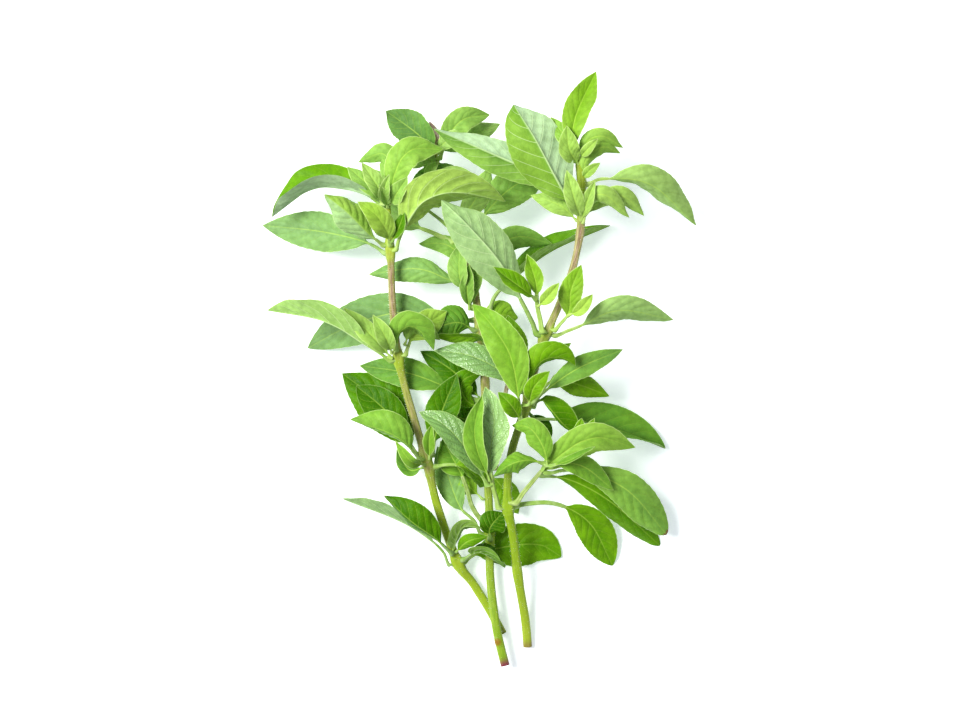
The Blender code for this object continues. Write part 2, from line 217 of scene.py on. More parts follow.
# %% Where the small leaves grow
# joint: for each small leaf, the leaf at whose foot it grows, its steps, width, roll, fold, age
TUFTS = {
    "left_1": [
        ("left_1_dark",
         [(0, 0.5, -1), (2, 7.5, 5), (5, 11.5, 7), (12, 10.5, 6)], 10, 120, 20, 0.42),
        ("left_1_right", [(-3, 3, 1), (2, 8, 9.5), (10, 10, 10)], 6, 0, -10, 0.62),
    ],
    "left_2": [
        ("left_2_light", [(1, -2, -0.5), (-4, 0, 9.5), (-10, 8, 10.5)], 5, 20, 20, 0.35),
        ("left_2_light", [(1, -3, -2.5), (-5, -4, -4.5), (-10, 4, -6.5)], 6, -20, 10, 0.8),
        ("left_2_upright", [(-1, -1, 2), (-1, 7, 7), (0, 13, 9)], 5, 0, 30, 0.4),
    ],
    "left_3": [
        ("left_3_pale", [(0, 1, 1), (-7, 9, 6), (-19, 21, 5)], 8, (-20, -30), 15, 0),
        ("left_3_pale", [(0, 3, 3), (-2, 9, 11), (-7, 18, 13)], 7, (10, 0), 25, 0),
        ("left_3_right", [(0, 4, 3), (4, 11, 6), (14, 6, 1)], 8, -30, -10, 0.23),
    ],
    "left_4": [
        ("left_4_front", [(1, 1, 2.5), (4, 7, 7.5), (6, 13, 8.5)], 5, 20, 25, 0.8),
    ],
    "left_5": [
        ("left_5_arch",
         [(-1, -1, 1), (0, 11, -2), (-3, 19, -2), (-13, 16, -7)], 10, (20, 10), -15, 0.35),
        ("left_5_arch", [(-2, -1, 2), (-5, 6, 8), (-11, 15, 7)], 7, -20, 15, 0.1),
        ("left_5_arch", [(-3, -1, 0), (-7, 5, 3), (-17, 14, -2)], 8, -30, 10, 0.3),
        ("left_5_arch", [(-2, -1, 3), (-2, 4, 11), (0, 10, 13)], 5, 0, 35, 0.08),
        ("left_5_arch", [(0, -1, 3), (3, 3, 11), (7, 9, 12)], 7, 10, 30, 0.15),
        ("left_5_arch", [(-1, -2, 2), (-2, 2, 9), (-4, 6, 13)], 4, 0, 35, 0.08),
    ],
    "middle_1": [
        ("middle_brown_shoot", [(-1, -2, 0), (4, -8, 0), (10, -18, -4)], 10, 0, 0, 0.47),
        ("middle_low_shoot", [(0, 8, 0), (-8, 16, 0), (-17, 31, -5)], 12, 0, 5, 0.42),
    ],
    "middle_2": [
        ("middle_2_left", [(2, 0, 0), (-10, 12, 4), (-23, 20, 0)], 11, -10, 5, 1),
        ("middle_2_left", [(1, -3, 1), (-5, 1, 4), (-6, 8, 6), (2, 12, 5)], 9, 0, -10, 0.73),
        ("middle_2_left", [(2, -10, -1), (-6, -7, -1), (-13, -5, -6)], 13, 0, 5, 0.98),
    ],
    "middle_3": [
        ("middle_3_thin", [(-1, 7, -1), (5, 11, 1), (13, 10, -3)], 12, 0, -5, 0.27),
    ],
    "middle_4": [
        ("middle_left_shoot", [(0, -1, 0), (-1, 7, 4), (3, 20, 9)], 8, -20, 30, 0.22),
        ("middle_left_shoot", [(-1, -1, 1), (-2, 7, 6), (-1, 17, 11)], 6, 0, 35, 0.42),
        ("middle_4_left", [(3, 6, 0), (17, 20, 2), (33, 18, -3)], 10, 0, -10, 0.47),
        ("middle_4_left", [(2, 7, 0), (-8, 17, 2), (-20, 18, -3)], 8, 0, -8, 0.42),
    ],
    "middle_6": [
        ("middle_6_right", [(-2, 3, -1), (4, 7, 6), (12, 11, 6)], 6, 0, 15, 0),
        ("middle_6_right", [(-1, 2, -2), (9, 7, 0), (24, 14, -3)], 10, -10, -8, 0),
        ("middle_6_tip", [(3, -3, -0.5), (-3, 0, 1.5), (-7, -4, -0.5)], 7, 0, 20, 0),
    ],
    "middle_5": [
        ("middle_5_dark", [(-2, 9, 0), (-5, 17, 4), (2, 20, 5), (13, 16, 2)], 9, 0, -12, 0),
        ("middle_5_right", [(-5, 6, 1), (3, 16, 4), (9, 29, 1)], 10, 0, -5, 0),
        ("middle_5_dark", [(-2, 11, 1), (-8, 21, 6), (-5, 26, 6)], 6, 0, 25, 0),
    ],
    "right_1": [
        ("right_1_pale",
         [(1, 2, 2), (-4, 14, 9), (-5, 24, 11), (-2, 36, 9)], 9, (20, 10), 40, 0.52),
        ("right_1_big",
         [(0.5, 3, 4), (7.5, 4, 6), (15.5, 2, 4), (26.5, -7, -2)], 9, (5, 0), -8, 0.67),
        ("right_low_right_shoot", [(14, 15, 11), (22, 18, 16), (31, 23, 16)], 5, 60, 30, 0.67),
        ("right_1_arch", [(1, -1, 1), (-1, 7, 4), (-6, 14, 4), (-13, 15, 1)], 10, 10, -14, 0.47),
    ],
    "right_2": [
        ("right_2_front", [(0, 0, 1), (-4, 6, 7), (-9, 11, 6)], 7, -10, 15, 0.65),
        ("right_2_arch", [(-1, -4, 2), (1, 3, 9), (7, 9, 9)], 7, 0, 20, 0.55),
        ("right_2_pale", [(4, 20, 2), (8, 20, 5), (15, 24, 4)], 4, 0, 20, 0.65),
        ("right_2_veined", [(16, -10, -0.5), (21, -9, 3.5), (24, -4, 3.5)], 4, 0, 20, 0.5),
        ("right_2_veined", [(16, -10, -0.5), (18, -8, 3.5), (19, -4, 2.5)], 4, 0, 20, 0.5),
        ("right_2_big", [(0, 3, -2), (5, -3, -6), (7, -12, -13)], 9, 0, 5, 1),
    ],
    "right_3": [
        ("right_high_left_shoot", [(-2, 10, 5), (2, 14, 10), (6, 19, 10)], 5, 0, 25, 0),
        ("right_high_right_shoot", [(6, 6, 4), (10, 8, 7), (15, 14, 6)], 5, 0, 20, 0),
    ],
    "right_4": [
        ("right_4_long", [(1, -5, -0.5), (-6, 1, 2.5), (-17, 5, -0.5)], 8, 0, -8, 0),
        ("right_4_wide", [(2, -3, 0), (-1, 5, 8), (-4, 16, 9)], 7, 0, 25, 0),
        ("right_4_wide", [(2, -3, 0), (4, 4, 7), (7, 12, 7)], 5, 0, 25, 0),
        ("right_4_right", [(-2, -15, 1), (1, -6, 7), (7, -5, 8), (16, -13, 1)], 8, -10, -20, 0),
        ("right_4_right", [(-2, -13, 0), (6, -6, 3), (14, -5, 3), (22, -12, -4)], 8, -10, -18, 0),
    ],
    "right_5": [
        ("right_5_top", [(0.5, -1, -2), (-3.5, 4, 2), (-9.5, 13, -2)], 6, 0, 15, 0.27),
        ("right_5_top", [(1.5, -6, -2), (-2.5, 0, 4), (-3.5, 9, 5)], 8, 0, 20, 0.15),
        ("right_5_top",
         [(1.5, -5, -2), (4.5, 3, 2), (10.5, 5, 3), (18.5, 1, -2)], 7, -10, -15, 0.15),
        ("right_5_top",
         [(2.5, -11, -3), (4.5, -3, 1), (10.5, 1, 2), (17.5, -1, -3)], 7, -10, -15, 0.17),
        ("right_5_top", [(2.5, -11, -3), (5.5, -8, 2), (9.5, -5, 2)], 4, 0, 20, 0.12),
        ("right_5_top", [(1.5, -3, -1), (4.5, 0, 5), (8.5, 4, 5)], 4, 0, 20, 0.05),
    ],
}


PER_STEP = 24
SMALL_KNOTS = 16
SMALL_STALK_SHARE = 0.1
SMALL_STALK_RADIUS = 0.45


def smooth_path(route, count):
    """Points at even distances along a Catmull-Rom curve through the route's points."""
    knots = np.array(route, dtype=float)
    knots = np.vstack([2 * knots[0] - knots[1], knots, 2 * knots[-1] - knots[-2]])
    t = np.linspace(0, 1, PER_STEP, endpoint=False)[:, None]
    runs = [
        b
        + t * (c - a) / 2
        + t**2 * (a - 2.5 * b + 2 * c - d / 2)
        + t**3 * (1.5 * (b - c) + (d - a) / 2)
        for a, b, c, d in zip(knots, knots[1:], knots[2:], knots[3:])
    ]
    dense = np.vstack(runs + [knots[-2:-1]])
    far = distances(dense)
    wanted = np.linspace(0, far[-1], count)
    return wanted, np.column_stack([np.interp(wanted, far, axis) for axis in dense.T])


def drawn_line(foot, steps, width, roll, fold):
    """The same facts as leaf_line gives, for a leaf drawn as steps from a foot.

    The right and up directions start level and upright, and are turned about the line by the
    roll, which changes evenly from its first angle to its second.
    """
    at, centre = smooth_path(foot + np.array(steps, dtype=float), SMALL_KNOTS)
    ahead = unit(np.gradient(centre, axis=0))
    level = unit(np.cross(ahead, (0, 0, 1)))
    upright = np.cross(level, ahead)
    start, stop = roll if isinstance(roll, tuple) else (roll, roll)
    turn = np.radians(np.linspace(start, stop, len(at)))[:, None]
    return {
        "at": at,
        "centre": centre,
        "right": level * np.cos(turn) + upright * np.sin(turn),
        "up": upright * np.cos(turn) - level * np.sin(turn),
        "stalk": SMALL_STALK_SHARE * at[-1],
        "width": width,
        "fold": math.radians(fold),
        "radius": SMALL_STALK_RADIUS,
    }


tufts = {
    joint: [
        (drawn_line(leaves[near]["centre"][0], steps, width, roll, fold), age)
        for near, steps, width, roll, fold, age in rows
    ]
    for joint, rows in TUFTS.items()
}
print(f"{sum(len(rows) for rows in tufts.values())} small leaves in {len(tufts)} tufts")

# %% A smooth curve through knots
def through(at, values, wanted):
    """A smooth curve through values at knots: cubic Hermite pieces with the knots' own slopes."""
    values = np.asarray(values, dtype=float)
    slope = np.gradient(values, at, axis=0)
    k = np.clip(np.searchsorted(at, wanted) - 1, 0, len(at) - 2)
    span = at[k + 1] - at[k]
    t = (wanted - at[k]) / span
    if values.ndim == 2:
        t, span = t[:, None], span[:, None]
    return (
        (1 + 2 * t) * (1 - t) ** 2 * values[k]
        + t * (1 - t) ** 2 * span * slope[k]
        + t**2 * (3 - 2 * t) * values[k + 1]
        - t**2 * (1 - t) * span * slope[k + 1]
    )


def follow(line, key, s):
    """A line's centre, one of its directions or its radius at distances s along it."""
    return through(line["at"], line[key], s)


# %% Root every leaf in what it grows on
SEAT_REACH = 6.0
SHORT_ROOT = 1.5
ROOT_DEPTH = 0.75
STEM_SAMPLES = 600
STALK_SAMPLES = 40
FREE_STALK = 0.3


def stem_line(node):
    """The centre, corner directions and corner radius of a stem at each of its rings."""
    rings, tip = rings_of(node)
    centre = rings.mean(axis=1)
    reach = np.linalg.norm(rings - centre[:, None], axis=2)
    corner = 0 if reach[1:-1, 0::2].mean() > reach[1:-1, 1::2].mean() else 1
    return {
        "at": distances(centre),
        "centre": centre,
        "side": unit(rings[:, corner] - centre),
        "face": unit(rings[:, corner + 2] - centre),
        "radius": reach[:, corner::2].mean(axis=1),
        "tip": tip,
    }


def rooted(line, owner=None):
    """The line with one more knot at its start, inside the stem or stalk that it grows on.

    The knot lies ROOT_DEPTH of the way from the foot to the nearest axis, or a short way back
    along the leaf where no axis is within reach.
    """
    foot = line["centre"][0]
    near = np.vstack([points for name, points in axes.items() if name != owner])
    root = near[np.argmin(np.linalg.norm(near - foot, axis=1))]
    gap = np.linalg.norm(root - foot)
    if gap > SEAT_REACH:
        root = foot - SHORT_ROOT * unit(line["centre"][1] - foot)
        gap = SHORT_ROOT
    root = root + (1 - ROOT_DEPTH) * (foot - root)
    longer = dict(line)
    longer["at"] = np.concatenate([[-ROOT_DEPTH * gap], line["at"]])
    longer["centre"] = np.vstack([root, line["centre"]])
    for way in ("right", "up"):
        longer[way] = np.vstack([line[way][:1], line[way]])
    return longer


stems = {name: stem_line(name) for name in STEMS}
axes = {}
for name, line in stems.items():
    at = np.linspace(0, line["at"][-1], STEM_SAMPLES)
    axes[name] = follow(line, "centre", at)
    thick = 2 * line["radius"].max()
    print(f"{name}: {at[-1]:.0f} mm long, {thick:.1f} mm thick at its widest joint")
for name, line in leaves.items():
    at = np.linspace(FREE_STALK * line["stalk"], line["stalk"], STALK_SAMPLES)
    axes[name] = follow(line, "centre", at)
leaves = {name: rooted(line, name) for name, line in leaves.items()}
tufts = {joint: [(rooted(line), age) for line, age in rows] for joint, rows in tufts.items()}

# %% [markdown]
# ## A closed skin over rows of points
#
# Everything here is a tube of some kind: a row of points is carried along a line, and each end is
# closed with a fan. NumPy lays out all the points and all the faces as whole arrays, and
# foreach_set hands them to Blender in one go, which is far quicker than adding faces one by one.

# %% The skin builder
SHARP_ANGLE = math.radians(55)


def lay_skin(rows, first, last):
    """Points and faces of a tube: quads between rows (n, m, 3), and a fan to a point at each end.

    Quad (r, i) joins point i and i + 1 of row r to the same two points of row r + 1.
    """
    n, m = rows.shape[:2]
    points = np.vstack([rows.reshape(-1, 3), first, last])
    here = np.arange(m)
    after = (here + 1) % m
    row = m * np.arange(n - 1)[:, None]
    quads = np.stack([row + here, row + after, row + m + after, row + m + here], axis=-1)
    foot = np.stack([after, here, np.full(m, n * m)], axis=-1)
    head = np.stack([here, after, np.full(m, n * m + 1) - (n - 1) * m], axis=-1) + (n - 1) * m
    return points, quads.reshape(-1, 4), np.vstack([foot, head])


def in_scene(name, data):
    """A new object for a mesh, a lamp or a camera, linked into the scene."""
    thing = bpy.data.objects.new(name, data)
    bpy.context.scene.collection.objects.link(thing)
    return thing


def make_mesh(name, parts, materials):
    """One object from a list of (points in mm, quads, triangles, face materials, attributes)."""
    counts = np.cumsum([0] + [len(part[0]) for part in parts])
    points = np.vstack([part[0] for part in parts])
    quads = np.vstack([part[1] + start for part, start in zip(parts, counts)])
    triangles = np.vstack([part[2] + start for part, start in zip(parts, counts)])
    corners = np.concatenate([quads.ravel(), triangles.ravel()])
    starts = np.concatenate(
        [4 * np.arange(len(quads)), 4 * len(quads) + 3 * np.arange(len(triangles))]
    )
    finish = np.concatenate([part[3][0] for part in parts] + [part[3][1] for part in parts])
    mesh = bpy.data.meshes.new(name)
    mesh.vertices.add(len(points))
    mesh.vertices.foreach_set("co", (points * MM).ravel())
    mesh.loops.add(len(corners))
    mesh.loops.foreach_set("vertex_index", corners.astype(np.int32))
    mesh.polygons.add(len(starts))
    mesh.polygons.foreach_set("loop_start", starts.astype(np.int32))
    for material in materials:
        mesh.materials.append(material)
    mesh.polygons.foreach_set("material_index", finish.astype(np.int32))
    mesh.update(calc_edges=True)
    mesh.shade_smooth()
    mesh.set_sharp_from_angle(angle=SHARP_ANGLE)
    for key in parts[0][4]:
        values = np.concatenate([part[4][key] for part in parts])
        kind = "FLOAT" if values.ndim == 1 else "FLOAT_VECTOR"
        field = mesh.attributes.new(key, kind, "POINT")
        field.data.foreach_set("value" if values.ndim == 1 else "vector", values.ravel())
    return in_scene(name, mesh)


# %% [markdown]
# ## The living leaf
#
# A basil leaf is a thin blade, gently quilted between side veins that bow towards the tip, with a
# groove along the top of its midrib, a rib below, and a channelled stalk. Sculpting each one would
# take days. Here a cross-section of 48 points runs along the measured midrib: it starts as the
# round stalk and opens into the flat blade, so stalk, rib and blade are one closed surface.

# %% The grid of a leaf's cross-section
COLUMNS = 12
BLADE_SKIN = 0.28
VEINS = 6.5
TABLE_GAP = 0.05
UPPER_SIDE, UNDER_SIDE, STALK_SIDE = 0, 1, 2
spread = np.linspace(-1, 1, 2 * COLUMNS + 1)
across = np.sign(spread) * np.abs(spread) ** 1.4
across = np.concatenate([across, across[-2:0:-1]])
spread = np.concatenate([spread, spread[-2:0:-1]])
above = np.concatenate([np.ones(2 * COLUMNS + 1), -np.ones(2 * COLUMNS - 1)])


def outline(u, taper):
    """Half-width of a living blade as a share of its widest: u^0.85 (1 - u)^taper, scaled to 1."""
    u = np.clip(u, 0, 1)
    widest = 0.85 / (0.85 + taper)
    return (u / widest) ** 0.85 * ((1 - u) / (1 - widest)) ** taper


def ease(x, low, high):
    """0 below low, 1 above high, and a smooth step between."""
    t = np.clip((x - low) / (high - low), 0, 1)
    return t * t * (3 - 2 * t)


def bell(x, reach):
    """1 where x is 0, 1/e where it equals the reach, and 0 far away."""
    return np.exp(-((x / reach) ** 2))


def off_table(rows):
    """The rows, each raised as a whole where it would reach below the table."""
    rows[:, :, 2] += np.maximum(0, TABLE_GAP - rows[:, :, 2].min(axis=1))[:, None]
    return rows


# %% Quilting, waves and veins
QUILT = (0.020, 0.038)
DROOP = (0.08, 0.24)
WAVE_HEIGHT = 0.032
GROOVE_DEPTH, GROOVE_WIDTH = 0.22, 0.45
RIDGE_HEIGHT, RIDGE_WIDTH = 0.10, 0.3
VEIN_PITCH, VEIN_SWEEP, VEIN_SHIFT = 1.1, 0.30, 0.2


def leaf_relief(width, u, v, w, half, rng):
    """How far the blade's face rises, in mm, and its phase: a whole number at each side vein.

    The phase grows with u and falls as w^1.25, so veins bow towards the tip. The pillows
    |sin(pi phase)|^0.7 fade out at the midrib, the margin and the tip. Two waves along the leaf
    grow as w^2.5, and the margins droop as w^2.2.
    """
    quilt = rng.uniform(*QUILT)
    droop = rng.uniform(*DROOP)
    phase = VEINS * (VEIN_PITCH * u - VEIN_SWEEP * w**1.25)
    phase = phase + VEIN_SHIFT * (v < 0) + rng.uniform(0, 0.5)
    pillow = np.abs(np.sin(np.pi * phase)) ** 0.7 - 0.6
    pillow = pillow * ease(w * half, 0.2, 1.6) * ease(1 - u, 0.03, 0.3)
    pillow = pillow * ease(half * (1 - w), 0.0, 2.0)
    long_wave = 2 * np.pi * (rng.uniform(1.4, 2.6) * u + rng.uniform()) + 1.5 * np.sign(v)
    short_wave = 2 * np.pi * (rng.uniform(3.0, 4.5) * u + rng.uniform()) - np.sign(v)
    waves = np.sin(long_wave) + 0.5 * np.sin(short_wave)
    rise = quilt * width * pillow
    rise = rise + WAVE_HEIGHT * width * waves * w**2.5 * ease(u, 0, 0.2)
    rise = rise - droop * half * w**2.2
    return rise * ease(1 - u, 0, 0.1), phase


def leaf_depth(line, u, w, from_rib, vein_gap):
    """How far each point lies off the middle of the blade, in mm, along the blade's normal.

    Above, that is half the skin less a groove along the midrib. Below, it is half the skin, a rib
    that fades towards the tip, and a low ridge along each vein.
    """
    skin = 0.5 * BLADE_SKIN * np.sqrt(1 - w**8)
    groove = GROOVE_DEPTH * bell(from_rib, GROOVE_WIDTH) * (1 - 0.6 * u)
    rib_radius = line["radius"] * 0.8 * (1 - u) ** 0.8 + 0.1
    rib = rib_radius * bell(from_rib, 0.95 * rib_radius)
    ridge = RIDGE_HEIGHT * bell(vein_gap, RIDGE_WIDTH) * ease(from_rib, 0.1, 0.6) * (1 - w) ** 0.5
    return np.where(above > 0, skin - groove, -skin - rib - ridge)


# %% The sections of the blade and the stalk
def blade_section(fold, u, v, w, half, teeth, off):
    """How far right and up of the midrib each point of the blade lies, in millimetres.

    The halves rise by the fold, in a V whose sides steepen towards the margins, and each point
    then moves by off along the normal of that V.
    """
    fold = fold * (1 + 0.12 * np.cos(2 * np.pi * u))
    x = v * half * np.cos(fold) * (1 + teeth)
    y = half * (0.64 * w + 0.36 * w**2) * np.sin(fold)
    normal_x = -np.sign(v) * (0.64 + 0.72 * w) * np.sin(fold)
    normal_y = np.cos(fold) * np.ones_like(v)
    size = np.hypot(normal_x, normal_y)
    return x + off * normal_x / size, y + off * normal_y / size


def stalk_section(line, s):
    """How far right and up of its line each point of the stalk lies, in millimetres.

    The stalk is round, narrows along its length, flares where it grows on the stem, and has a
    channel along its top.
    """
    radius = line["radius"] * (1 - 0.2 * np.clip(s / line["stalk"], 0, 1))
    radius = (radius * (1 + 0.55 * bell(np.maximum(s, 0), 1.5)))[:, None]
    angle = 0.5 * np.pi * spread[None, :]
    channel = 1 - 0.4 * bell(spread[None, :], 0.4) * ease(s, 0, 3)[:, None]
    return radius * np.sin(angle), radius * np.cos(angle) * np.where(above > 0, channel, -1)


# %% The whole leaf
STALK_STEP = 0.7
TEETH = (13, 17)
TOOTH_DEPTH = 0.012
OPENING = (-0.04, 0.09)


def leaf_part(line, traits, rng, fine=90, taper=1.0):
    """One leaf's skin as a part for make_mesh.

    s is the distance along the line in mm, u the share of the blade's length, v goes from -1 at
    the left margin to 1 at the right, and w = |v|. The blade's half-width is outline(u, taper)
    times half the leaf's width. The stalk's section eases into the blade's, and each section is
    carried along the measured centre, right and up directions.
    """
    age, paleness_and_sheen, brown, purple = traits
    # the second trait mixes in a pale blue-green for the leaf or for each half: partly the leaf's
    # own paler tone, partly painted sheen on halves that face the light and painted light on leaves
    # in shade
    left_paleness_and_sheen, right_paleness_and_sheen = paleness_and_sheen if isinstance(paleness_and_sheen, tuple) else (paleness_and_sheen, paleness_and_sheen)
    stalk = line["stalk"]
    length = line["at"][-1] - stalk
    on_stalk = np.arange(line["at"][0], stalk, STALK_STEP)
    s = np.concatenate([on_stalk, stalk + length * np.linspace(0, 1, fine + 1)[:-1]])
    u = ((s - stalk) / length)[:, None]
    v = across[None, :]
    half = 0.5 * line["width"] * outline(u, taper)
    w = np.abs(v)
    from_rib = w * half

    relief, phase = leaf_relief(line["width"], u, v, w, half, rng)
    teeth = TOOTH_DEPTH * np.sin(2 * np.pi * rng.uniform(*TEETH) * u) * ease(w, 0.8, 1.0)
    vein_gap = np.abs(phase - np.round(phase)) * length / VEINS
    off = relief + leaf_depth(line, u, w, from_rib, vein_gap)
    x, y = blade_section(line["fold"], u, v, w, half, teeth, off)
    stalk_x, stalk_y = stalk_section(line, s)
    open_up = ease(u, *OPENING)
    x = stalk_x * (1 - open_up) + x * open_up
    y = stalk_y * (1 - open_up) + y * open_up
    centre = follow(line, "centre", s)
    right = unit(follow(line, "right", s))
    up = unit(follow(line, "up", s))
    rows = centre[:, None] + x[:, :, None] * right[:, None] + y[:, :, None] * up[:, None]
    rows = off_table(rows)

    points, quads, triangles = lay_skin(rows, rows[0].mean(axis=0), line["centre"][-1])
    side = np.where(np.arange(len(across)) < 2 * COLUMNS, UPPER_SIDE, UNDER_SIDE)
    kind = np.where(u[:-1] < 0.0, STALK_SIDE, side)
    caps = np.concatenate([np.full(len(side), STALK_SIDE), side])

    def ends(values, foot, tip):
        """One number for each point of the rows, and one for each of the two poles."""
        return np.concatenate([(values * np.ones_like(from_rib)).ravel(), [foot, tip]])

    # pale tone and painted sheen, eased across the midrib from the left half's share to the right
    # half's
    mixed = left_paleness_and_sheen + (right_paleness_and_sheen - left_paleness_and_sheen) * ease(v, -0.06, 0.06)
    fields = {
        "along": ends(u, u[0, 0], 1.0),
        "from_rib": ends(from_rib, 0.0, 0.0),
        "from_edge": ends(half - from_rib, 0.5, 0.0),
        "phase": ends(phase, 0.0, VEINS),
        "vein_step": np.full(len(points), length / VEINS),
        "age": np.full(len(points), age),
        "paleness_and_sheen": ends(mixed, left_paleness_and_sheen, right_paleness_and_sheen),
        "brown": np.full(len(points), brown),
        "purple": np.full(len(points), purple),
        "tone": np.full(len(points), rng.uniform(-1, 1)),
    }
    fields = {key: value.astype(np.float32) for key, value in fields.items()}
    return points, quads, triangles, (kind.ravel(), caps), fields


# %% [markdown]
# ## Finishes as recipes
#
# A finish is a small network of nodes. Wiring nodes by name is wordy, so a Recipe holds one
# material and gives short words for the nodes used here. Patterns follow the leaf itself: each
# surface carries numbers such as how far a point lies from the midrib, in millimetres, and a vein
# is simply wherever that number is small. They hold still whatever the camera does.

# %% The recipe words
class Recipe:
    """A material being made, and short words for its nodes. Values may be numbers or sockets."""

    def __init__(self, name, roughness=0.5, **fixed):
        self.material = bpy.data.materials.new(name)
        self.material.use_nodes = True
        self.tree = self.material.node_tree
        self.shader = self.tree.nodes["Principled BSDF"]
        self.set("Roughness", roughness)
        for key, value in fixed.items():
            self.set(key.replace("_", " "), value)

    def put(self, socket, value):
        """Link a socket, or write a value that stays the same. A colour gets its alpha here."""
        if isinstance(value, bpy.types.NodeSocket):
            self.tree.links.new(value, socket)
        elif value is not None:
            socket.default_value = (*value, 1) if socket.type == "RGBA" else value

    def set(self, name, value):
        """Put a value on one of the shader's own sockets."""
        self.put(self.shader.inputs[name], value)

    def node(self, kind, *values, **settings):
        node = self.tree.nodes.new(kind)
        for key, value in settings.items():
            setattr(node, key, value)
        for socket, value in zip(node.inputs, values):
            self.put(socket, value)
        return node

    def field(self, name, output="Fac"):
        """A number that the surface's points carry, or a vector if the output is Vector."""
        return self.node("ShaderNodeAttribute", attribute_name=name).outputs[output]

    def place(self):
        return self.node("ShaderNodeTexCoord").outputs["Object"]

    def maths(self, operation, a, b=None):
        return self.node("ShaderNodeMath", a, b, operation=operation).outputs[0]

    def times(self, a, b):
        return self.maths("MULTIPLY", a, b)

    def plus(self, a, b):
        return self.maths("ADD", a, b)

    def fade(self, value, low, high, start=0.0, stop=1.0):
        """start where the value is below low, stop above high, and a smooth step between."""
        steps = (value, low, high, start, stop)
        return self.node("ShaderNodeMapRange", *steps, interpolation_type="SMOOTHSTEP").outputs[0]

    def blend(self, share, a, b):
        """The colour a where the share is 0, b where it is 1, and a mix between."""
        node = self.node("ShaderNodeMix", data_type="RGBA")
        self.put(node.inputs[0], share)
        self.put(node.inputs[6], a)
        self.put(node.inputs[7], b)
        return node.outputs[2]

    def ramp(self, value, stops):
        """A colour that runs through the stops, each a position from 0 to 1 and a colour."""
        node = self.node("ShaderNodeValToRGB", value)
        band = node.color_ramp.elements
        while len(band) < len(stops):
            band.new(0.5)
        for element, (position, colour) in zip(band, stops):
            element.position = position
            element.color = (*colour, 1)
        return node.outputs[0]

    def noise(self, scale, detail=2.0, where=None):
        """Soft cloudy grain, with scale patches to a metre unless it is given another place."""
        node = self.node("ShaderNodeTexNoise")
        self.put(node.inputs["Vector"], where or self.place())
        self.put(node.inputs["Scale"], scale)
        self.put(node.inputs["Detail"], detail)
        return node.outputs[0]

    def cells(self, scale):
        """The distance to the middle of the nearest cell, with scale cells to a metre."""
        node = self.node("ShaderNodeTexVoronoi")
        self.put(node.inputs["Vector"], self.place())
        self.put(node.inputs["Scale"], scale)
        return node.outputs["Distance"]

    def bump(self, height, depth):
        """Height 0 to 1 stands for depth metres."""
        node = self.node("ShaderNodeBump")
        self.put(node.inputs["Distance"], depth)
        self.put(node.inputs["Height"], height)
        self.set("Normal", node.outputs[0])


# %% [markdown]
# ## Leaf green
#
# Young basil is yellow-green and thin, and old leaves are deep green. The upper face is satin, with
# a fine grain of cells and oil glands, a pale midrib, faint side veins and a thin pale margin. The
# underside is greyer and matt, and its veins stand out pale. One recipe makes both faces.

# %% The colours of a leaf
UPPER = [
    (0.0, (0.33, 0.54, 0.075)),
    (0.3, (0.215, 0.42, 0.030)),
    (0.55, (0.145, 0.34, 0.006)),
    (0.8, (0.075, 0.225, 0.002)),
    (1.0, (0.034, 0.13, 0.001)),
]
UNDER = [
    (0.0, (0.37, 0.57, 0.10)),
    (0.4, (0.28, 0.49, 0.085)),
    (0.8, (0.18, 0.35, 0.035)),
    (1.0, (0.09, 0.22, 0.012)),
]
STALK = [(0.0, (0.36, 0.52, 0.11)), (0.6, (0.25, 0.42, 0.07)), (1.0, (0.16, 0.30, 0.05))]
RIB_COLOUR = (0.44, 0.64, 0.09)
UNDER_VEIN_COLOUR = (0.56, 0.72, 0.36)
RIM_COLOUR = (0.54, 0.70, 0.26)
# the two pale blue-greens below, for the upper face and the underside, are partly a leaf's own paler
# tone and partly painted sheen and painted light
PALE_SHEEN_COLOUR = (0.31, 0.49, 0.23)
UNDER_PALE_SHEEN_COLOUR = (0.46, 0.63, 0.41)
DARK_GRAIN = (0.02, 0.07, 0.0)
CELL_GLINT = (0.36, 0.58, 0.01)
TIP_BROWN = (0.16, 0.085, 0.035)


